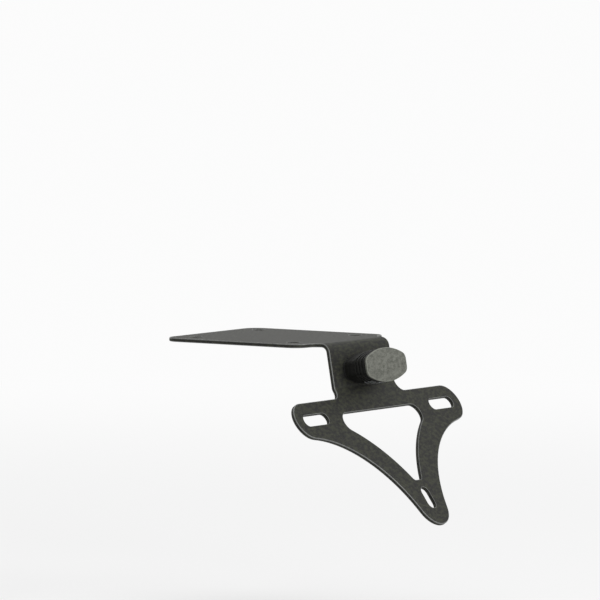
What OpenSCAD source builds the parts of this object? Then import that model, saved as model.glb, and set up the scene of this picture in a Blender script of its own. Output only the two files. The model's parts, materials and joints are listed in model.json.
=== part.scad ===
// Tail tidy: a folded sheet bracket that hangs a number plate behind a motorcycle's tail,
// with a small sealed lamp on its neck that lights the plate from above.
// Frame: X to the right, Y forward, Z up. The origin is the centre of the four fixing holes,
// on the upper face of the top plate, which bolts up against the tail.

/* [Sheet] */
// Thickness of the steel sheet
sheet = 2; // [1.5:0.1:3]
// Inside radius of both folds
bend_r = 3; // [2:0.1:4]
// Lean of the neck from upright, its foot to the rear
neck_tilt = 10; // [6:0.5:14]
// Lean of the plate hanger from upright, its foot to the rear
hanger_tilt = 35.1; // [31:0.1:40]

/* [Top plate] */
// Spacing of the fixing holes across
bolt_x = 56; // [40:1:90]
// Spacing of the fixing holes fore and aft
bolt_y = 60; // [40:1:100]
// Radius of a fixing hole
bolt_hole_r = 3.3; // [2.2:0.1:4.5]
// Metal from a hole's centre to the edge of the top plate
edge = 12; // [10:0.5:18]
// Radius of the top plate's corners
top_corner_r = 8; // [3:0.5:9]
// Radius where the neck runs into the top plate
top_fillet = 4.5; // [3:0.5:8]

/* [Neck] */
// Width of the neck
neck_w = 54.8; // [50:0.2:66]
// Length of the neck between the corners of its two folds, on the rear face
neck_len = 22.8; // [22.4:0.1:32]
// Radius where the neck runs into the wings
neck_fillet = 4.7; // [3:0.1:6]

/* [Hanger] */
// Width over the two wing ends
span = 148.4; // [140:0.2:170]
// Height of the wings' top edge above the line of the upper slots
wing_rise = 10.1; // [8.5:0.1:12]
// Radius of a wing end
wing_r = 10.2; // [8.5:0.1:12]
// Drop from the upper slots to the centre of the rounded foot
foot_drop = 55; // [52:0.5:62]
// Radius of the rounded foot
foot_r = 11.9; // [10:0.1:14]
// Radius of the hollow sides
side_r = 67.9; // [60:0.1:80]
// Width of the two legs
leg_w = 13.95; // [11:0.05:16]
// Height of the window's top edge above the line of the upper slots
window_rise = 1.75; // [0.5:0.05:3]
// Radius of the window's upper corners
window_r = 5.5; // [4:0.1:7]
// Radius of the window's lower corners
window_foot_r = 2.5; // [2:0.1:3.5]
// Length of the window's flat lower edge
window_foot_w = 3.6; // [2:0.1:6]

/* [Number plate slots] */
// Width of every slot
slot_w = 6.5; // [5:0.1:7]
// Distance from a wing's end to the centre of its slot
slot_inset = 17.2; // [15.5:0.1:19]
// Length of an upper slot
slot_len = 21.2; // [16:0.1:23]
// Drop from the upper slots to the centre of the lower slot
low_slot_drop = 51.3; // [50:0.1:54]
// Length of the lower, upright slot
low_slot_len = 12.4; // [10:0.1:14]

/* [Lamp] */
// Width of the lamp
lamp_w = 36.2; // [34.6:0.1:40]
// Height of the lamp
lamp_h = 17.3; // [17:0.1:19]
// Radius of the lamp's arched top and underside
arch_r = 38.5; // [35:0.5:50]
// Radius of the lamp's corners
lamp_corner_r = 3.8; // [3:0.1:4.5]
// Gap between the foot of the lamp and the lower fold
lamp_foot = 0.2; // [0.1:0.05:0.4]
// How far the lamp's parts behind the cover stand back from its edge
setback = 0.9; // [0.8:0.05:1]
// Thickness of the rubber gasket behind the lamp
gasket_t = 0.9; // [0.6:0.1:1.5]
// Thickness of the lamp's base
base_t = 2.2; // [1.8:0.1:3]
// Depth of the lamp's body
body_depth = 10.2; // [9.6:0.1:12]
// Thickness of the seal under the cover
seal_t = 0.5; // [0.4:0.1:0.8]
// Thickness of the cover
cover_t = 1.2; // [1:0.1:2]
// Wall of the body under its ribs
wall = 1.4; // [1.2:0.1:1.6]
// Number of ribs round the body
rib_count = 4; // [2:1:5]
// Width of a rib
rib_w = 0.9; // [0.6:0.1:1]
// Distance from one rib to the next
rib_pitch = 1.8; // [1.5:0.1:1.9]
// Height of a rib
rib_h = 0.6; // [0.3:0.1:0.7]

/* [Lamp insides] */
// Thickness of the lens flange
flange_t = 0.9; // [0.7:0.1:1]
// Length of the lens in its window
lens_len = 16.8; // [13:0.1:17]
// Width of the lens in its window
lens_w = 5.4; // [4:0.1:6]
// Thickness of the lips that locate the base and the cover in the body
lip_wall = 1; // [0.8:0.1:1.4]
// Overlap of the lens flange past the window, at the sides
lens_lap = 1; // [0.6:0.1:1.1]
// Thickness of the ring that seals the lens
lens_seal_t = 0.5; // [0.4:0.1:0.6]
// Thickness of the body's floor under the lens, at its middle
floor_wall = 2.65; // [2.3:0.05:2.8]
// Thickness of the circuit board
board_t = 1.2; // [0.8:0.1:1.6]
// Height of the board's underside above the lamp's centre
board_rise = 1; // [0:0.1:2]
// Number of light-emitting chips
chip_count = 3; // [1:1:3]
// Distance from one chip to the next
chip_pitch = 5.3; // [4:0.1:6]
// Length of a chip package
chip_len = 2.8; // [2:0.1:3.5]
// Height of a chip package
chip_h = 1.9; // [1:0.1:2]

/* [Lamp fixings] */
// Spacing of the two lamp bolts
lamp_bolt_x = 24.6; // [24:0.1:25]
// Radius of a lamp bolt
lamp_bolt_r = 1.5; // [1.25:0.05:1.6]
// Radius of a boss in the lamp
boss_r = 3.2; // [2.8:0.1:3.3]
// Wall left round a threaded insert
insert_wall = 1.1; // [0.8:0.1:1.2]
// Length of a threaded insert
insert_len = 5; // [4:0.1:6]
// Depth of an insert in its boss
insert_sink = 0.4; // [0.2:0.1:0.6]
// Width across the flats of a bolt head
head_flats = 5.5; // [5:0.1:6]
// Height of a bolt head
head_h = 2; // [1.5:0.1:2.5]
// Radius of a plain washer
washer_r = 3.5; // [3.2:0.1:4]
// Thickness of a plain washer
washer_t = 0.5; // [0.4:0.1:1]
// Radius of a spring washer
spring_washer_r = 3.05; // [2.7:0.05:3.15]
// Thickness of a spring washer
spring_washer_t = 0.8; // [0.6:0.1:1]
// Gap cut in a spring washer
spring_gap = 0.6; // [0.3:0.1:1]

/* [Lead grommet] */
// Radius of the hole in the neck for the lamp's lead
lead_hole_r = 4.2; // [3.5:0.1:4.5]
// Radius of the lead
lead_r = 1.9; // [1.2:0.1:2.2]
// How far the grommet's lips overlap the hole
lip = 1.2; // [0.8:0.1:1.6]
// Thickness of the grommet's inner lip
lip_t = 1.2; // [0.8:0.1:1.6]

/* [Clearances] */
// Clearance round a lamp bolt
bolt_gap = 0.2; // [0.15:0.05:0.3]
// Clearance between an insert and its boss, and between its thread and the bolt
thread_gap = 0.05; // [0.03:0.01:0.1]
// Clearance between parts that slide together
slide_gap = 0.2; // [0.15:0.05:0.3]
// Clearance between a boss and the board beside it
board_gap = 0.4; // [0.3:0.1:0.6]

/* [Hidden] */
$fn = 96;

// Extra length of a cut, so that it passes clean through a face
cut = 1;

// How far each flat reaches into its folds, so that they are one piece of metal
lap = 0.1;

// How much thinner a fold is than the flats, on each face, so that no face is shared by halves
fold_step = 0.004;

// How far two arcs overlap where they join, so that they cross in one clean point
blend = 0.002;

// Run of a fold: from the corner of the two flats to where the flat begins
top_run = (bend_r + sheet) * tan((90 - neck_tilt) / 2);
low_run = bend_r * tan((hanger_tilt - neck_tilt) / 2);

// Places along the sheet
top_plate_rear = -bolt_y / 2 - edge;
top_plate_front = bolt_y / 2 + edge;
neck_flat = neck_len - top_run - low_run;
tongue = wing_rise + neck_fillet + lap;

// Distance between the centres of the upper slots
slot_pitch = span - 2 * slot_inset;

// Where two circles cross, on their right
function crossing(a, ra, b, rb) =
    let (d = norm(b - a), u = (b - a) / d, along = (ra * ra - rb * rb + d * d) / (2 * d))
    a + along * u + sqrt(ra * ra - along * along) * [u[1], -u[0]];

// An outline's right half, from top to bottom, joined to its mirror image
function both_sides(half) = concat(half, [for (i = [len(half) - 1 : -1 : 0]) [-half[i][0], half[i][1]]]);

// The point of a circle that faces another point
function toward(centre, r, aim) = centre + r * (aim - centre) / norm(aim - centre);

// Hanger outline: rounded wing ends and foot, joined by hollow sides that touch both
wing_centre = [span / 2 - wing_r, wing_rise - wing_r];
foot_centre = [0, -foot_drop];
side_centre = crossing(foot_centre, side_r + foot_r, wing_centre, side_r + wing_r);

// Window outline: its sides share the centres of the hollow sides
window_side_r = side_r + leg_w;
window_corner_y = window_rise - window_r;
window_reach = window_side_r + window_r;
window_corner_x = side_centre[0] - sqrt(pow(window_reach, 2) - pow(side_centre[1] - window_corner_y, 2));
window_corner = [window_corner_x, window_corner_y];
window_foot_reach = window_side_r + window_foot_r;
window_foot_x = window_foot_w / 2;
window_foot_y = side_centre[1] + sqrt(pow(window_foot_reach, 2) - pow(side_centre[0] - window_foot_x, 2));
window_foot = [window_foot_x, window_foot_y];

// Lamp layers, counted out from the neck's rear face
base_z = gasket_t;
body_z = base_z + base_t;
seal_z = body_z + body_depth;
cover_z = seal_z + seal_t;
lamp_depth = cover_z + cover_t;
floor_drop = lamp_h / 2 - setback - floor_wall;
insert_z = body_z + insert_sink;
insert_r = boss_r - insert_wall;
head_z = -sheet - washer_t - spring_washer_t;
bolt_end_z = insert_z + insert_len;
lens_z = (body_z + seal_z) / 2;
lamp_bolts = [-lamp_bolt_x / 2, lamp_bolt_x / 2];
board_half = lamp_bolt_x / 2 - boss_r - board_gap;

module mirrored() {
    children();
    mirror([1, 0, 0]) children();
}

// The centre lines that the sheet is folded round, each in the frame of the flat before it
module at_top_fold() {
    translate([0, top_plate_rear - top_fillet, -bend_r - sheet]) children();
}

module at_low_fold() {
    on_neck() translate([0, 0, bend_r]) children();
}

// The neck's own frame: X across, Y up from the lower fold, Z out of its rear face
module on_neck() {
    at_top_fold() rotate([90 - neck_tilt, 0, 0]) translate([0, -neck_flat, bend_r + sheet]) children();
}

// The hanger's own frame, with its origin midway between the upper slots
module on_hanger() {
    at_low_fold() rotate([neck_tilt - hanger_tilt, 0, 0]) translate([0, -tongue, -bend_r]) children();
}

// The lamp's own frame, on the neck's rear face
module on_lamp() {
    on_neck() translate([0, lamp_foot + lamp_h / 2 - setback, 0]) children();
}

module rounded_box_2d(size, r) {
    square([size[0] - 2 * r, size[1]], center = true);
    square([size[0], size[1] - 2 * r], center = true);
    for (x = [-1, 1], y = [-1, 1]) {
        translate([x * (size[0] / 2 - r), y * (size[1] / 2 - r)]) circle(r);
    }
}

// The curved web that fills a square corner, with its corner at the origin
module fillet_2d(r) {
    difference() {
        square(r);
        translate([r, r]) circle(r);
    }
}

module slot_2d(length, width) {
    square([length - width, width], center = true);
    for (x = [-1, 1]) translate([x * (length - width) / 2, 0]) circle(width / 2);
}

// One fold of the sheet, swept about a line across the bracket
module fold(from, sweep) {
    rotate([90, 0, 90]) rotate([0, 0, from]) rotate_extrude(angle = sweep)
        translate([bend_r + fold_step, -neck_w / 2]) square([sheet - 2 * fold_step, neck_w]);
}

module top_plate_2d() {
    difference() {
        union() {
            translate([0, (top_plate_rear + top_plate_front) / 2])
                rounded_box_2d([bolt_x + 2 * edge, top_plate_front - top_plate_rear], top_corner_r);
            translate([-neck_w / 2, top_plate_rear - top_fillet - lap])
                square([neck_w, lap + top_fillet + top_corner_r]);
            mirrored() translate([neck_w / 2, top_plate_rear]) mirror([0, 1, 0]) fillet_2d(top_fillet);
        }
        for (x = [-1, 1], y = [-1, 1]) translate([x * bolt_x / 2, y * bolt_y / 2]) circle(bolt_hole_r);
    }
}

module hanger_blank_2d() {
    wing_touch = toward(wing_centre, wing_r, side_centre);
    foot_touch = toward(foot_centre, foot_r, side_centre);
    difference() {
        union() {
            polygon(both_sides([[wing_centre[0], wing_rise], wing_centre, wing_touch, foot_touch]));
            mirrored() {
                translate(wing_centre) circle(wing_r);
                translate([neck_w / 2, wing_rise]) fillet_2d(neck_fillet);
            }
            translate(foot_centre) circle(foot_r);
            translate([-neck_w / 2, 0]) square([neck_w, tongue + lap]);
        }
        mirrored() translate(side_centre) circle(side_r + blend, $fn = 360);
    }
}

module window_2d() {
    corner_touch = toward(window_corner, window_r, side_centre);
    foot_touch = toward(window_foot, window_foot_r, side_centre);
    foot_base = window_foot - [0, window_foot_r];
    difference() {
        polygon(both_sides([
            [window_corner[0], window_rise], window_corner, corner_touch, foot_touch, window_foot, foot_base
        ]));
        mirrored() translate(side_centre) circle(window_side_r, $fn = 360);
    }
    mirrored() {
        translate(window_corner) circle(window_r + blend);
        translate(window_foot) circle(window_foot_r + blend);
    }
}

module hanger_2d() {
    difference() {
        hanger_blank_2d();
        window_2d();
        mirrored() translate([slot_pitch / 2, 0]) slot_2d(slot_len, slot_w);
        translate([0, -low_slot_drop]) rotate(90) slot_2d(low_slot_len, slot_w);
    }
}

// The lamp's outline as seen from behind: short upright sides between two flat arches.
// Every edge moves in by the same amount, so that shells and steps stay even.
module barrel_2d(inset) {
    half_w = lamp_w / 2 - inset;
    half_h = lamp_h / 2 - inset;
    arch = arch_r - inset;
    r = lamp_corner_r - inset;
    sink = arch - half_h;
    corner = [half_w - r, sqrt(pow(arch - r, 2) - pow(half_w - r, 2)) - sink];
    touch = toward(corner, r, corner + (corner + [0, sink]));
    intersection() {
        translate([0, -sink]) circle(arch, $fn = 240);
        translate([0, sink]) circle(arch, $fn = 240);
        square([2 * touch[0], 2 * half_h + cut], center = true);
    }
    square([2 * half_w, 2 * corner[1]], center = true);
    for (x = [-1, 1], y = [-1, 1]) translate([x * corner[0], y * corner[1]]) circle(r + blend);
}

// The hollow inside the lamp's body, with a flat floor for the lens
module hollow_2d(inset) {
    intersection() {
        barrel_2d(setback + wall + inset);
        translate([-lamp_w / 2, inset - floor_drop]) square([lamp_w, lamp_h]);
    }
}

// The same hollow, widened wherever the bosses need room
module body_hollow_2d() {
    hollow_2d(0);
    for (x = lamp_bolts) translate([x, 0]) circle(boss_r + slide_gap);
}

// A short lip that locates the base or the cover under the roof of the body
module roof_lip_2d() {
    intersection() {
        difference() {
            hollow_2d(slide_gap);
            hollow_2d(slide_gap + lip_wall);
        }
        translate([-board_half, board_rise + board_t]) square([2 * board_half, lamp_h]);
    }
}

module bracket() color([0.1, 0.1, 0.11]) {
    translate([0, 0, -sheet]) linear_extrude(sheet) top_plate_2d();
    at_top_fold() fold(90, 90 - neck_tilt);
    difference() {
        on_neck() translate([-neck_w / 2, -lap, -sheet]) cube([neck_w, neck_flat + 2 * lap, sheet]);
        on_lamp() translate([0, 0, -sheet - cut]) {
            cylinder(r = lead_hole_r, h = sheet + 2 * cut);
            for (x = lamp_bolts) translate([x, 0, 0]) cylinder(r = lamp_bolt_r + bolt_gap, h = sheet + 2 * cut);
        }
    }
    at_low_fold() fold(-90, neck_tilt - hanger_tilt);
    on_hanger() translate([0, 0, -sheet]) linear_extrude(sheet) hanger_2d();
}

module lamp_gasket() color([0.06, 0.06, 0.06]) on_lamp() linear_extrude(gasket_t) difference() {
    barrel_2d(setback);
    circle(lead_hole_r + lip + slide_gap);
    for (x = lamp_bolts) translate([x, 0]) circle(lamp_bolt_r + bolt_gap);
}

module lamp_base() color([0.1, 0.1, 0.1]) on_lamp() {
    translate([0, 0, base_z]) linear_extrude(base_t) difference() {
        barrel_2d(setback);
        circle(lead_r + slide_gap);
        for (x = lamp_bolts) translate([x, 0]) circle(lamp_bolt_r + bolt_gap);
    }
    translate([0, 0, body_z]) linear_extrude(rib_w) roof_lip_2d();
}

module lens_window(inset) {
    translate([0, -lamp_h / 4 - floor_drop / 2, lens_z])
        cube([lens_len + 2 * inset, lamp_h / 2 - floor_drop + 2 * cut, lens_w + 2 * inset], center = true);
}

module lamp_body() color([0.12, 0.12, 0.11]) on_lamp() difference() {
    union() {
        translate([0, 0, body_z]) linear_extrude(body_depth) barrel_2d(setback);
        for (i = [1 : rib_count]) translate([0, 0, seal_z - (i - 1) * rib_pitch - rib_w])
            linear_extrude(rib_w) barrel_2d(setback - rib_h);
    }
    translate([0, 0, body_z - cut]) linear_extrude(body_depth + 2 * cut) body_hollow_2d();
    lens_window(slide_gap);
}

module cover_seal() color([0.05, 0.05, 0.05]) on_lamp() translate([0, 0, seal_z]) linear_extrude(seal_t)
    difference() {
        barrel_2d(setback);
        body_hollow_2d();
    }

module lamp_cover() color([0.4, 0.4, 0.38]) on_lamp() {
    translate([0, 0, cover_z]) linear_extrude(cover_t) barrel_2d(0);
    translate([0, 0, seal_z - rib_w]) linear_extrude(seal_t + rib_w) roof_lip_2d();
    for (x = lamp_bolts) translate([x, 0, body_z]) difference() {
        cylinder(r = boss_r, h = cover_z - body_z);
        translate([0, 0, -cut]) cylinder(r = insert_r + thread_gap, h = insert_z - body_z + insert_len + cut);
    }
}

module lamp_lens() color([0.85, 0.88, 0.9]) on_lamp() {
    intersection() {
        lens_window(0);
        linear_extrude(lamp_depth) difference() {
            barrel_2d(-slide_gap / 2);
            translate([-lamp_w / 2, -floor_drop]) square([lamp_w, lamp_h]);
        }
    }
    translate([0, -floor_drop + lens_seal_t / 2, lens_z]) cube([lens_len, lens_seal_t, lens_w], center = true);
    translate([0, -floor_drop + lens_seal_t + flange_t / 2, lens_z])
        cube([lens_len + 2 * lens_lap, flange_t, lens_w + 2 * lens_lap], center = true);
}

module lens_seal() color([0.05, 0.05, 0.05]) on_lamp() difference() {
    translate([0, -floor_drop + lens_seal_t / 2, lens_z])
        cube([lens_len + 2 * lens_lap, lens_seal_t, lens_w + 2 * lens_lap], center = true);
    translate([0, -floor_drop, lens_z])
        cube([lens_len + slide_gap, 2 * lens_seal_t + cut, lens_w + slide_gap], center = true);
}

module circuit_board() color([0.05, 0.3, 0.12]) on_lamp() translate([-board_half, board_rise, body_z])
    cube([2 * board_half, board_t, cover_z - body_z]);

module light_chips() color([0.95, 0.9, 0.6]) on_lamp() for (i = [0 : chip_count - 1])
    translate([(i - (chip_count - 1) / 2) * chip_pitch - chip_len / 2, board_rise - chip_h, lens_z - chip_len / 2])
        cube([chip_len, chip_h, chip_len]);

module threaded_insert(x) color([0.8, 0.65, 0.3]) on_lamp() translate([x, 0, insert_z]) difference() {
    cylinder(r = insert_r, h = insert_len);
    translate([0, 0, -cut]) cylinder(r = lamp_bolt_r + thread_gap, h = insert_len + 2 * cut);
}

module lamp_bolt(x) color([0.75, 0.75, 0.77]) on_lamp() translate([x, 0, head_z]) {
    cylinder(r = lamp_bolt_r, h = bolt_end_z - head_z);
    translate([0, 0, -head_h]) cylinder(d = head_flats / cos(30), h = head_h, $fn = 6);
}

module spring_washer(x) color([0.7, 0.7, 0.72]) on_lamp() translate([x, 0, head_z])
    linear_extrude(spring_washer_t) difference() {
        circle(spring_washer_r);
        circle(lamp_bolt_r + bolt_gap);
        translate([0, -spring_gap / 2]) square([spring_washer_r + cut, spring_gap]);
    }

module plain_washer(x) color([0.78, 0.78, 0.8]) on_lamp() translate([x, 0, head_z + spring_washer_t])
    linear_extrude(washer_t) difference() {
        circle(washer_r);
        circle(lamp_bolt_r + bolt_gap);
    }

module lead_grommet() color([0.07, 0.07, 0.07]) on_lamp() translate([0, 0, -sheet]) rotate_extrude() {
    translate([lead_r, -lip_t]) square([lead_hole_r + lip - lead_r, lip_t]);
    translate([lead_r, 0]) square([lead_hole_r - slide_gap / 2 - lead_r, sheet]);
    translate([lead_r, sheet]) square([lead_hole_r + lip - lead_r, gasket_t]);
}

bracket();
lamp_gasket();
lamp_base();
lamp_body();
cover_seal();
lamp_cover();
lamp_lens();
lens_seal();
circuit_board();
light_chips();
threaded_insert(lamp_bolts[0]);  // threaded_insert_left
threaded_insert(lamp_bolts[1]);  // threaded_insert_right
lamp_bolt(lamp_bolts[0]);  // lamp_bolt_left
lamp_bolt(lamp_bolts[1]);  // lamp_bolt_right
spring_washer(lamp_bolts[0]);  // spring_washer_left
spring_washer(lamp_bolts[1]);  // spring_washer_right
plain_washer(lamp_bolts[0]);  // plain_washer_left
plain_washer(lamp_bolts[1]);  // plain_washer_right
lead_grommet();
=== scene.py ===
import json
from math import cos, pi, radians, sin

import bmesh
import bpy
from mathutils import Matrix, Vector


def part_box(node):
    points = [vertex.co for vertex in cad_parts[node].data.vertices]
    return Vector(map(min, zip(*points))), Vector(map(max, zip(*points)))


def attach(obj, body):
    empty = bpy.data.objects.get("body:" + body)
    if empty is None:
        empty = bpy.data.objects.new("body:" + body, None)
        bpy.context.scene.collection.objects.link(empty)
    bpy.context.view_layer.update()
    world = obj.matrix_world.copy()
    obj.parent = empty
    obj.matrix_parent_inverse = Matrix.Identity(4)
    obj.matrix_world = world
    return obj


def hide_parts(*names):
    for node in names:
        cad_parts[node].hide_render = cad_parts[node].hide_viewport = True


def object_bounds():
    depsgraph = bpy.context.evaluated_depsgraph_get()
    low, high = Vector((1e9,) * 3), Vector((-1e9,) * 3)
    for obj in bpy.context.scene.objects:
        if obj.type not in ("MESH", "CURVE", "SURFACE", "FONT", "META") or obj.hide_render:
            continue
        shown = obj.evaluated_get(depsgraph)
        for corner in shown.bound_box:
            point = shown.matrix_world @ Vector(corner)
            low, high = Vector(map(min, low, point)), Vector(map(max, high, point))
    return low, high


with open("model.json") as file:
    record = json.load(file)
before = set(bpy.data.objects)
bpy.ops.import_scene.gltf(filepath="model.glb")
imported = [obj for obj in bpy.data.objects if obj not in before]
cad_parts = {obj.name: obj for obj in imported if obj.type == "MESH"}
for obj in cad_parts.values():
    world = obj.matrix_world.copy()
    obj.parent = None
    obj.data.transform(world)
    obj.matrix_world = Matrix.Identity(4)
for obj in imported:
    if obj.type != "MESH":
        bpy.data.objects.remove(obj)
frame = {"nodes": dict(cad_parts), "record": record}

cad_box = [list(corner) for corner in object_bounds()]


# Camera. A long lens from behind and to the left of the part, a little above it. The eye is placed
# from the middle of the line between the two upper number plate slots, which is a mount.
LENS_MM, SENSOR_MM = 381.19, 36.0
TURN, TILT = radians(55.799), radians(4.1946)
AHEAD, ASIDE, ABOVE = 3.20479, 0.040234, -0.056009
NEAREST, FARTHEST = 0.1, 60

look = Vector((sin(TURN) * cos(TILT), cos(TURN) * cos(TILT), -sin(TILT)))
right = Vector((cos(TURN), -sin(TURN), 0))
up = right.cross(look)
slots = next(m for m in frame["record"]["mounts"] if m["name"] == "number_plate_slots")
aim = Vector(slots["pos_m"])

eye = bpy.data.objects.new("eye", bpy.data.cameras.new("eye"))
bpy.context.scene.collection.objects.link(eye)
eye.data.lens, eye.data.sensor_width = LENS_MM, SENSOR_MM
eye.data.clip_start, eye.data.clip_end = NEAREST, FARTHEST
eye.matrix_world = Matrix.Translation(aim - AHEAD * look - ASIDE * right - ABOVE * up) @ Matrix(
    (right, up, -look)).transposed().to_4x4()
bpy.context.scene.camera = eye
bpy.context.scene.view_settings.view_transform = "Standard"


# Light. A soft lamp to the rear of the part, which catches the rims of the sheet, one near the eye
# and one overhead. The room is white to the eye and to gloss, and grey to everything else.
class Flow:
    """What runs from one node to another. Arithmetic on it adds the Math nodes."""

    def __init__(self, nodes, socket):
        self.nodes, self.socket = nodes, socket

    def maths(self, operation, *values):
        return self.nodes.node("ShaderNodeMath", {"operation": operation}, dict(enumerate(values)))

    def __add__(self, other):
        return self.maths("ADD", self, other)

    def __radd__(self, other):
        return self.maths("ADD", other, self)

    def __sub__(self, other):
        return self.maths("SUBTRACT", self, other)

    def __rsub__(self, other):
        return self.maths("SUBTRACT", other, self)

    def __mul__(self, other):
        return self.maths("MULTIPLY", self, other)

    def __rmul__(self, other):
        return self.maths("MULTIPLY", other, self)

    def __truediv__(self, other):
        return self.maths("DIVIDE", self, other)

    def __rtruediv__(self, other):
        return self.maths("DIVIDE", other, self)

    def larger(self, other):
        return self.maths("MAXIMUM", self, other)

    def ramp(self, low, high):
        """0 below low, 1 above high, and a smooth slope between them."""
        return self.nodes.node("ShaderNodeMapRange", {"interpolation_type": "SMOOTHSTEP"}, {
            "Value": self, "From Min": low, "From Max": high})

    def beside(self, out):
        """Another output of the same node."""
        return Flow(self.nodes, self.socket.node.outputs[out])


class Nodes:
    """A tree of nodes, for a finish or for a shape."""

    def __init__(self, tree):
        self.tree = tree
        tree.nodes.clear()

    def node(self, kind, settings=None, inputs=None, out=0):
        """Adds a node: its settings first, then the values or flows of its inputs."""
        made = self.tree.nodes.new(kind)
        for key, value in (settings or {}).items():
            setattr(made, key, value)
        for key, value in (inputs or {}).items():
            for part in value if isinstance(value, list) else [value]:
                if isinstance(part, Flow):
                    self.tree.links.new(part.socket, made.inputs[key])
                else:
                    made.inputs[key].default_value = part
        return Flow(self, made.outputs[out]) if made.outputs else None


# The places of a Mix node's colours among its sockets
MIX_FIRST, MIX_SECOND, MIX_RESULT = 6, 7, 2


class Finish(Nodes):
    """The nodes of a material or of the world."""

    def __init__(self, owner):
        owner.use_nodes = True
        super().__init__(owner.node_tree)
        self.owner = owner

    def between(self, share, first, second):
        """A colour that goes from the first to the second as share goes from 0 to 1."""
        ends = [c if isinstance(c, Flow) else (*c, 1) for c in (first, second)]
        return self.node("ShaderNodeMix", {"data_type": "RGBA"}, {
            0: share, MIX_FIRST: ends[0], MIX_SECOND: ends[1]}, MIX_RESULT)

    def seen(self):
        """1 for rays from the eye, off gloss and through clear plastic, 0 for light alone."""
        straight, glossy, through = (
            self.node("ShaderNodeLightPath", out=f"Is {kind} Ray")
            for kind in ("Camera", "Glossy", "Transmission"))
        return straight.larger(glossy).larger(through)

    def skin(self, inputs):
        """Ends a material in a plain surface with these inputs."""
        surface = self.node("ShaderNodeBsdfPrincipled", None, inputs)
        self.node("ShaderNodeOutputMaterial", None, {"Surface": surface})


WHITE, ROOM = 0.97, 0.5
world = Finish(bpy.data.worlds.new("room"))
bpy.context.scene.world = world.owner
shade = world.between(world.seen(), (ROOM,) * 3, (WHITE,) * 3)
world.node("ShaderNodeOutputWorld", None, {
    "Surface": world.node("ShaderNodeBackground", None, {"Color": shade})})


def soft_lamp(name, across, back, height, size, watts):
    """A square lamp aimed at the part. It stands this far across the eye's view, back towards the
    eye, and above the part, in metres."""
    lamp = bpy.data.objects.new(name, bpy.data.lights.new(name, "AREA"))
    bpy.context.scene.collection.objects.link(lamp)
    lamp.data.size, lamp.data.energy = size, watts
    level = Vector((look.x, look.y, 0)).normalized()
    away = across * right - back * level + height * Vector((0, 0, 1))
    lamp.location = aim + away
    lamp.rotation_euler = away.to_track_quat("Z", "Y").to_euler()


soft_lamp("lamp_rear", across=1.9, back=1.0, height=0.75, size=0.9, watts=24)
soft_lamp("lamp_eye", across=0.8, back=2.1, height=0.8, size=0.8, watts=8)
soft_lamp("lamp_top", across=0.0, back=-0.3, height=2.0, size=1.2, watts=10)


# Ground. A pale matt sheet that lies below the hanging part, takes its shadow, and fades into the
# white of the room before its edge. It is clear from beneath, so that it never hides the part.
GROUND_DROP, GROUND_R, GROUND_SIDES, GROUND_GREY = 0.045, 5, 48, 0.94
GLOW_NEAR, FADE_FROM, FADE_TO = 0.6, 0.25, 1.3

ground_mesh = bpy.data.meshes.new("ground")
ground_z = cad_box[0][2] - GROUND_DROP
ring = []
for side in range(GROUND_SIDES):
    bearing = 2 * pi * side / GROUND_SIDES
    ring.append((GROUND_R * cos(bearing), GROUND_R * sin(bearing), ground_z))
ground_mesh.from_pydata(ring, [], [list(range(GROUND_SIDES))])
ground = bpy.data.objects.new("ground", ground_mesh)
bpy.context.scene.collection.objects.link(ground)
matt = Finish(bpy.data.materials.new("ground"))
spot = matt.node("ShaderNodeTexCoord", out="Object")
flat = matt.node("ShaderNodeVectorMath", {"operation": "MULTIPLY"}, {0: spot, 1: (1, 1, 0)})
far = matt.node("ShaderNodeVectorMath", {"operation": "LENGTH"}, {0: flat}, "Value")
sheet = matt.node("ShaderNodeBsdfDiffuse", None, {
    "Color": (GROUND_GREY, GROUND_GREY, GROUND_GREY, 1)})
glow = matt.node("ShaderNodeEmission", None, {
    "Color": matt.between(matt.seen(), (ROOM,) * 3, (WHITE,) * 3)})
fade = GLOW_NEAR + (1 - GLOW_NEAR) * far.ramp(FADE_FROM, FADE_TO)
both = matt.node("ShaderNodeMixShader", None, {0: fade, 1: sheet, 2: glow})
beneath = matt.node("ShaderNodeNewGeometry", out="Backfacing")
bare = matt.node("ShaderNodeBsdfTransparent")
seen_through = matt.node("ShaderNodeMixShader", None, {0: beneath, 1: both, 2: bare})
matt.node("ShaderNodeOutputMaterial", None, {"Surface": seen_through})
ground_mesh.materials.append(matt.owner)


# Bracket. One piece of 2 mm steel sheet, laser cut and folded twice: the top plate is bolted up from
# below, the neck drops from it, and the slotted hanger leans back. It is powder coated satin black.
EVEN = (1, 1, 1)


def grained(finish, grains, detail=2.0, stretch=EVEN):
    """Noise, from 0 to 1, with this many grains in a metre, or times stretch along X, Y and Z."""
    place = finish.node("ShaderNodeTexCoord", out="Object")
    if stretch != EVEN:
        place = finish.node("ShaderNodeVectorMath", {"operation": "MULTIPLY"}, {
            0: place, 1: stretch})
    return finish.node("ShaderNodeTexNoise", None, {
        "Vector": place, "Scale": grains, "Detail": detail})


def relief(finish, height, depth):
    """Bumps of this depth in metres where height goes from 0 to 1."""
    return finish.node("ShaderNodeBump", None, {
        "Strength": 1.0, "Distance": depth, "Height": height})


def settled(piece):
    """The mesh that a piece's modifiers make."""
    bpy.context.view_layer.update()
    depsgraph = bpy.context.evaluated_depsgraph_get()
    return bpy.data.meshes.new_from_object(piece.evaluated_get(depsgraph))


def rims(edges):
    """Edges in groups that hang together, such as the rim of one hole."""
    left, groups = set(edges), []
    while left:
        group = [left.pop()]
        for edge in group:
            near = {e for v in edge.verts for e in v.link_edges} & left
            left -= near
            group.extend(near)
        groups.append(group)
    return groups


# A longer rim is an outline, faces within LEVEL make one, and an edge past SHARP is a corner
HOLE_RIM, LEVEL, SHARP, FLATTEST = 0.5, radians(1), radians(35), 100


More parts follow.
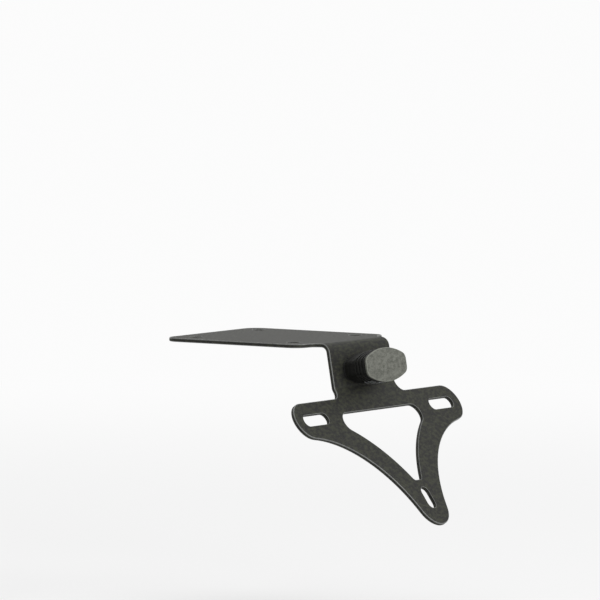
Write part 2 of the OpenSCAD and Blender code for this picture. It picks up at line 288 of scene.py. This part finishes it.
def rounded(node, name, finish, width, merge=2e-5, segments=2, holes=None):
    """A piece that takes a CAD node's place: its mesh merged, with the sharp edges rounded over by
    width, or by holes for the rims shorter than HOLE_RIM metres, where holes is given.
    The attribute arris is 1 on the rounding and 0 elsewhere, and flat faces are shaded flat."""
    bm = bmesh.new()
    bm.from_mesh(frame["nodes"][node].data)
    bmesh.ops.remove_doubles(bm, verts=bm.verts, dist=merge)
    bmesh.ops.dissolve_degenerate(bm, edges=bm.edges, dist=merge)
    bmesh.ops.dissolve_limit(bm, angle_limit=LEVEL, verts=bm.verts, edges=bm.edges)
    arris = bm.faces.layers.float.new("arris")
    corners = [e for e in bm.edges if len(e.link_faces) == 2 and e.calc_face_angle() > SHARP]
    in_holes = set()
    for group in rims(corners):
        if sum(e.calc_length() for e in group) < HOLE_RIM:
            in_holes.update(group)
    small = [e for e in corners if e in in_holes]
    large = [e for e in corners if e not in in_holes]
    for edges, offset in ((small, holes or width), (large, width)):
        cut = bmesh.ops.bevel(
            bm, geom=edges, offset=offset, segments=segments, profile=0.5, affect="EDGES")
        for face in cut["faces"]:
            face[arris] = 1
    # The bevels leave the faces in an order that changes from run to run, so it is set here
    bm.verts.index_update()
    ordered = sorted(bm.faces, key=lambda face: sorted(v.index for v in face.verts))
    for rank, face in enumerate(ordered):
        face.index, face.smooth = rank, True
    bm.faces.sort()
    mesh = bpy.data.meshes.new(name)
    bm.to_mesh(mesh)
    bm.free()
    mesh.set_sharp_from_angle(angle=SHARP)
    mesh.materials.append(finish.owner)
    piece = bpy.data.objects.new(name, mesh)
    bpy.context.scene.collection.objects.link(piece)
    flats = piece.modifiers.new("flats", "WEIGHTED_NORMAL")
    flats.weight, flats.keep_sharp = FLATTEST, True
    piece.data = settled(piece)
    piece.modifiers.clear()
    return piece


LONGER_ACROSS = (0.6, 1, 1)
DARK_FILM, PALE_FILM = (0.018, 0.018, 0.017), (0.037, 0.0385, 0.0275)
FLECK, RIM_WEAR_AND_HIGHLIGHT = (0.053, 0.054, 0.045), (0.19, 0.195, 0.19)
PEEL_GRAINS, CLOUD_GRAINS, GRIT_GRAINS = 620, 640, 2400
FILM_ROUGH, ROUGH_SPREAD, FILM_GLOSS = 0.46, 0.16, 0.13

coat = Finish(bpy.data.materials.new("satin_powder_coat"))
peel = grained(coat, PEEL_GRAINS, detail=3, stretch=LONGER_ACROSS)
grit = grained(coat, GRIT_GRAINS, detail=1, stretch=LONGER_ACROSS)
cloud = grained(coat, CLOUD_GRAINS, detail=2, stretch=LONGER_ACROSS)
rim = coat.node("ShaderNodeAttribute", {"attribute_name": "arris"}, out="Fac")
film = coat.between(cloud.ramp(0.36, 0.68), DARK_FILM, PALE_FILM)
film = coat.between(grit.ramp(0.56, 0.74) * 0.5, film, FLECK)
# Rounded edges turn paler: the coat is thin and worn there, and a painted highlight runs along the
# rims
film = coat.between(rim * (0.3 + 0.6 * cloud), film, RIM_WEAR_AND_HIGHLIGHT)
coat.skin({
    "Base Color": film, "Roughness": FILM_ROUGH + ROUGH_SPREAD * peel - ROUGH_SPREAD * rim,
    "Specular IOR Level": FILM_GLOSS, "Coat Weight": 0.6 * rim, "Coat Roughness": 0.36,
    "Normal": relief(coat, 0.7 * peel + 0.3 * grit, depth=5e-5)})

bracket = rounded("bracket", "folded_bracket", coat, width=0.42e-3,
                  merge=1.2e-4, segments=3, holes=0.2e-3)
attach(bracket, "root")
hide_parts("bracket")


# Lamp cover. The grey face of the plate lamp, moulded in one with the two bosses that take its
# bolts. Its outside carries the fine spark-eroded grain of the mould.
def moulded(name, dark, light, grain, depth, rough, rim_highlight=0.0, gloss=0.25):
    """A moulded finish with a slight mottle from dark to light, and grain to the metre of this
    depth. Its rounded edges get a painted highlight, paler by the share given, from 0 to 1."""
    finish = Finish(bpy.data.materials.new(name))
    fine = grained(finish, grain)
    broad = grained(finish, grain / 3, detail=3, stretch=LONGER_ACROSS)
    edge = finish.node("ShaderNodeAttribute", {"attribute_name": "arris"}, out="Fac") * rim_highlight
    colour = finish.between((0.45 * fine + 0.55 * broad).ramp(0.32, 0.66), dark, light)
    # Painted highlight: the rounded edges turn paler
    colour = finish.between(edge, colour, tuple(1.5 * c for c in light))
    finish.skin({
        "Base Color": colour, "Roughness": rough + 0.12 * fine, "Specular IOR Level": gloss,
        "Normal": relief(finish, fine, depth)})
    return finish


# The cover's rounded rim is painted paler, a painted highlight
grey = moulded("grey_plastic", dark=(0.060, 0.062, 0.050), light=(0.156, 0.160, 0.137),
               grain=1900, depth=6e-5, rough=0.5, rim_highlight=0.65, gloss=0.3)
cover = rounded("lamp_cover", "plate_lamp_cover", grey, width=0.3e-3)
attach(cover, "root")
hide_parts("lamp_cover")


# Lamp body. The black ribbed barrel of the lamp, and the flat base that closes it towards the neck.
# Both are injection moulded and left with a dull, finely grained surface.
black = moulded("dull_black_plastic", dark=(0.003, 0.003, 0.003), light=(0.011, 0.011, 0.009),
                grain=2300, depth=4e-5, rough=0.5, gloss=0.18)
for node, name in (("lamp_body", "ribbed_lamp_body"), ("lamp_base", "lamp_base_plate")):
    barrel = rounded(node, name, black, width=0.12e-3)
    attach(barrel, "root")
    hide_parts(node)


# Rubber. The gasket between lamp and neck, the two seals inside the lamp and the grommet that lines
# the lead hole are matt black moulded rubber.
rubber = moulded("gasket_rubber", dark=(0.010, 0.010, 0.010), light=(0.022, 0.022, 0.022),
                 grain=1300, depth=3e-5, rough=0.68)
for node in ("lamp_gasket", "cover_seal", "lens_seal", "lead_grommet"):
    soft = rounded(node, node + "_rubber", rubber, width=0.1e-3)
    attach(soft, "root")
    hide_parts(node)


# Lens. A lightly frosted, clear flanged block pushed down into the window in the lamp's underside.
# Fine flutes across it, about 2 mm apart, spread the light over the plate.
FLUTE_SCALE, LENS_IOR = 160.0, 1.57
# The grey tint dims the clear lens: painted shade under the lamp
DIM_CLEAR, BRIGHT_CLEAR = (0.50, 0.52, 0.52), (0.58, 0.60, 0.60)

clear = Finish(bpy.data.materials.new("clear_lens"))
flutes = clear.node("ShaderNodeTexWave", {"bands_direction": "X"}, {
    "Vector": clear.node("ShaderNodeTexCoord", out="Object"), "Scale": FLUTE_SCALE})
clear.skin({
    "Base Color": clear.between(grained(clear, 300), DIM_CLEAR, BRIGHT_CLEAR),
    "Roughness": 0.44 + 0.10 * grained(clear, 500), "Transmission Weight": 1.0,
    "IOR": LENS_IOR, "Normal": relief(clear, flutes, depth=3e-6)})
lens = rounded("lamp_lens", "fluted_lens", clear, width=0.12e-3)
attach(lens, "root")
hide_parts("lamp_lens")


# Circuit board and light chips. A small laminate board stands in the body with its copper side
# down, and three packaged chips shine from it through the lens.
TRACK_SCALE, TRACK_WIDTH = 60.0, 0.06
DARK_GREEN, MID_GREEN = (0.010, 0.070, 0.028), (0.020, 0.110, 0.045)
TRACK_GREEN = (0.045, 0.200, 0.075)

laminate = Finish(bpy.data.materials.new("board_laminate"))
tracks = laminate.node("ShaderNodeTexBrick", None, {
    "Vector": laminate.node("ShaderNodeTexCoord", out="Object"), "Scale": TRACK_SCALE,
    "Mortar Size": TRACK_WIDTH}, "Fac")
lacquer = laminate.between(0.5 * grained(laminate, 1500), DARK_GREEN, MID_GREEN)
laminate.skin({
    "Base Color": laminate.between(0.7 * tracks, lacquer, TRACK_GREEN),
    "Roughness": 0.3 + 0.1 * grained(laminate, 900),
    "Normal": relief(laminate, tracks, depth=3e-5)})
board = rounded("circuit_board", "lamp_board", laminate, width=0.06e-3)
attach(board, "root")
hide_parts("circuit_board")


# An edge of a grown shape that is sharper than this stays sharp in its shading
CREASE = radians(32)


class Shape(Nodes):
    """A Geometry Nodes tree with named sizes, in metres, that made() turns into a plain mesh."""

    def __init__(self, name, **sizes):
        super().__init__(bpy.data.node_groups.new(name, "GeometryNodeTree"))
        sockets = self.tree.interface
        sockets.new_socket("Geometry", in_out="OUTPUT", socket_type="NodeSocketGeometry")
        self.given = {}
        for key, value in sizes.items():
            kind = "NodeSocketInt" if isinstance(value, int) else "NodeSocketFloat"
            socket = sockets.new_socket(key, in_out="INPUT", socket_type=kind)
            self.given[socket.identifier] = value
        entry = self.tree.nodes.new("NodeGroupInput")
        self.size = {key: Flow(self, entry.outputs[key]) for key in sizes}

    def point(self, x=0.0, y=0.0, z=0.0):
        return self.node("ShaderNodeCombineXYZ", None, {"X": x, "Y": y, "Z": z})

    def moved(self, geometry, shift=(0, 0, 0), turn=(0, 0, 0)):
        return self.node("GeometryNodeTransform", None, {
            "Geometry": geometry, "Translation": shift, "Rotation": turn})

    def joined(self, *parts):
        return self.node("GeometryNodeJoinGeometry", None, {"Geometry": list(parts)})

    def coated(self, geometry, finish):
        return self.node("GeometryNodeSetMaterial", None, {
            "Geometry": geometry, "Material": finish.owner})

    def finished(self, geometry):
        real = self.node("GeometryNodeRealizeInstances", None, {"Geometry": geometry})
        self.node("NodeGroupOutput", None, {"Geometry": real})

    def made(self, name, place):
        """A piece of the tree's shape, at this place in the part."""
        seed = bpy.data.objects.new("seed", bpy.data.meshes.new("seed"))
        bpy.context.scene.collection.objects.link(seed)
        grow = seed.modifiers.new("grow", "NODES")
        grow.node_group = self.tree
        for identifier, value in self.given.items():
            grow[identifier] = value
        mesh = settled(seed)
        bpy.data.objects.remove(seed)
        # Empty material slots go
        for spare in reversed([i for i, slot in enumerate(mesh.materials) if slot is None]):
            mesh.materials.pop(index=spare)
        mesh.name = name
        mesh.transform(place)
        mesh.set_sharp_from_angle(angle=CREASE)
        piece = bpy.data.objects.new(name, mesh)
        bpy.context.scene.collection.objects.link(piece)
        return piece


NECK_TILT = radians(10)


def on_neck(node, depth=0.0):
    """A place square to the neck's rear face, this far behind the middle of a CAD node."""
    low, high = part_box(node)
    out = Vector((0, -cos(NECK_TILT), sin(NECK_TILT)))
    place = Matrix.Translation((low + high) / 2 + depth * out)
    return place @ Matrix.Rotation(pi / 2 - NECK_TILT, 4, "X")


# Shares of a chip's height
CASE_SHARE, SPOT_SHARE = 0.9, 0.2

ceramic = moulded("chip_ceramic", dark=(0.62, 0.60, 0.54), light=(0.76, 0.74, 0.68),
                  grain=1600, depth=1e-5, rough=0.35)
phosphor = moulded("chip_phosphor", dark=(0.62, 0.46, 0.05), light=(0.80, 0.62, 0.11),
                   grain=1600, depth=2e-5, rough=0.3)
row = Shape("chip_row", count=3, pitch=5.3e-3, length=2.8e-3, height=1.9e-3, well=1.05e-3)
across, length, height = row.size["pitch"], row.size["length"], row.size["height"]
line = row.node("GeometryNodeMeshLine", None, {
    "Count": row.size["count"], "Offset": row.point(across),
    "Start Location": row.point(-1 * across * (row.size["count"] - 1) / 2)})
case = row.node("GeometryNodeMeshCube", None, {
    "Size": row.point(length, height * CASE_SHARE, length)})
glow_spot = row.node("GeometryNodeMeshCylinder", None, {
    "Vertices": 24, "Radius": row.size["well"], "Depth": height * SPOT_SHARE})
case_rise, spot_drop = (1 - CASE_SHARE) / 2, -(1 - SPOT_SHARE) / 2
chip = row.joined(
    row.coated(row.moved(case, row.point(0.0, height * case_rise)), ceramic),
    row.coated(row.moved(glow_spot, row.point(0.0, height * spot_drop), (pi / 2, 0, 0)), phosphor))
row.finished(row.node("GeometryNodeInstanceOnPoints", None, {"Points": line, "Instance": chip}))
chips = row.made("chip_row", on_neck("light_chips"))
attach(chips, "root")
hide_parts("light_chips")


# Lamp bolts. Two M3 hexagon screws pass from the front of the neck into the lamp. The steel is
# bright zinc plated, the head is chamfered, and the thread runs right up to it.
ROUND_TOOLED = (1, 9, 9)


def metal(name, dark, light, rough):
    """A metal with fine tool lines and a cloudy tarnish."""
    finish = Finish(bpy.data.materials.new(name))
    lines = grained(finish, 260, detail=3, stretch=ROUND_TOOLED)
    tarnish = grained(finish, 420)
    finish.skin({
        "Base Color": finish.between(tarnish.ramp(0.3, 0.75), dark, light), "Metallic": 1.0,
        "Roughness": rough + 0.18 * lines, "Normal": relief(finish, lines, depth=1.5e-5)})
    return finish


# Shares of the head's height, its width, and the thread's outer radius
CHAMFER, CHAMFER_IN = 0.14, 0.9
CORE, THREAD_MID, THREAD_RISE = 0.84, 0.86, 0.14
TO_CORNERS = 0.5 / cos(pi / 6)

zinc = metal("bright_zinc", dark=(0.48, 0.48, 0.50), light=(0.66, 0.67, 0.69), rough=0.24)
screw = Shape("hexagon_screw", radius=1.5e-3, reach=11.8e-3, pitch=0.5e-3, flats=5.5e-3, head=2e-3)
radius, reach, pitch, head = (screw.size[key] for key in ("radius", "reach", "pitch", "head"))
hexagon = screw.node("GeometryNodeMeshCylinder", None, {
    "Vertices": 6, "Radius": screw.size["flats"] * TO_CORNERS, "Depth": head * (1 - CHAMFER)})
grown = screw.node("GeometryNodeExtrudeMesh", None, {
    "Mesh": hexagon, "Selection": hexagon.beside("Bottom"), "Offset Scale": head * CHAMFER})
chamfered = screw.node("GeometryNodeScaleElements", None, {
    "Geometry": grown, "Selection": grown.beside("Top"), "Scale": CHAMFER_IN})
cap = screw.moved(chamfered, screw.point(0.0, 0.0, head * ((CHAMFER - 1) / 2)))
core = screw.node("GeometryNodeMeshCylinder", None, {
    "Vertices": 24, "Radius": radius * CORE, "Depth": reach})
helix = screw.node("GeometryNodeCurveSpiral", None, {
    "Resolution": 16, "Rotations": (reach - pitch) / pitch, "Start Radius": radius * THREAD_MID,
    "End Radius": radius * THREAD_MID, "Height": reach - pitch})
crest = screw.node("GeometryNodeCurvePrimitiveCircle", {"mode": "RADIUS"}, {
    "Resolution": 4, "Radius": radius * THREAD_RISE})
thread = screw.node("GeometryNodeCurveToMesh", None, {
    "Curve": helix, "Profile Curve": crest, "Fill Caps": True})
screw.finished(screw.coated(screw.joined(
    cap, screw.moved(core, screw.point(0.0, 0.0, reach / 2)),
    screw.moved(thread, screw.point(0.0, 0.0, pitch / 2))), zinc))

# From the middle of a plain washer forwards to the face under the bolt's head
HEAD_SEAT = -1.05e-3
for side in ("left", "right"):
    bolt = screw.made("hexagon_screw_" + side, on_neck("plain_washer_" + side, HEAD_SEAT))
    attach(bolt, "root")
    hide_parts("lamp_bolt_" + side)


# Washers. Under each bolt's head a split spring washer lies on a plain one. Both are steel, bent or
# stamped to shape, and zinc plated as the bolts are.
for side in ("left", "right"):
    for node, width in (("spring_washer_", 0.08e-3), ("plain_washer_", 0.06e-3)):
        washer = rounded(node + side, node + side + "_zinc", zinc, width)
        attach(washer, "root")
        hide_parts(node + side)


# Threaded inserts. A turned brass sleeve is pressed into each boss of the cover. Two bands of
# knurling hold it in the plastic.
brass = metal("turned_brass", dark=(0.52, 0.36, 0.13), light=(0.70, 0.51, 0.20), rough=0.28)
sleeve = Shape("knurled_sleeve", outer=2.1e-3, bore=1.55e-3, length=5e-3, teeth=22)
outer, bore, length = (sleeve.size[key] for key in ("outer", "bore", "length"))
wall = outer - bore

# Shares of the wall's thickness, and of the sleeve's length for the bands
BARE_WALL, TOOTH_WIDTH, TOOTH_DEPTH, TOOTH_INSET = 0.84, 0.28, 0.5, 0.2
BAND, BAND_PLACE = 0.34, 0.27

around = sleeve.node("GeometryNodeCurvePrimitiveCircle", {"mode": "RADIUS"}, {
    "Resolution": 48, "Radius": bore + wall * (BARE_WALL / 2)})
section = sleeve.node("GeometryNodeCurvePrimitiveQuadrilateral", {"mode": "RECTANGLE"}, {
    "Width": wall * BARE_WALL, "Height": length})
tube = sleeve.node("GeometryNodeCurveToMesh", None, {"Curve": around, "Profile Curve": section})
ring_points = sleeve.node("GeometryNodeCurvePrimitiveCircle", {"mode": "RADIUS"}, {
    "Resolution": sleeve.size["teeth"], "Radius": outer - wall * TOOTH_INSET})
tooth = sleeve.node("GeometryNodeMeshCube", None, {
    "Size": sleeve.point(wall * TOOTH_WIDTH, wall * TOOTH_DEPTH, length * BAND)})
turn = sleeve.node("GeometryNodeInputIndex") * (2 * pi) / sleeve.size["teeth"]
teeth = sleeve.node("GeometryNodeInstanceOnPoints", None, {
    "Points": ring_points, "Instance": tooth, "Rotation": sleeve.point(0.0, 0.0, turn)})
bands = sleeve.joined(
    sleeve.moved(teeth, sleeve.point(0.0, 0.0, length * BAND_PLACE)),
    sleeve.moved(teeth, sleeve.point(0.0, 0.0, length * -BAND_PLACE)))
sleeve.finished(sleeve.coated(sleeve.joined(tube, bands), brass))
for side in ("left", "right"):
    insert = sleeve.made("knurled_sleeve_" + side, on_neck("threaded_insert_" + side))
    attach(insert, "root")
    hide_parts("threaded_insert_" + side)
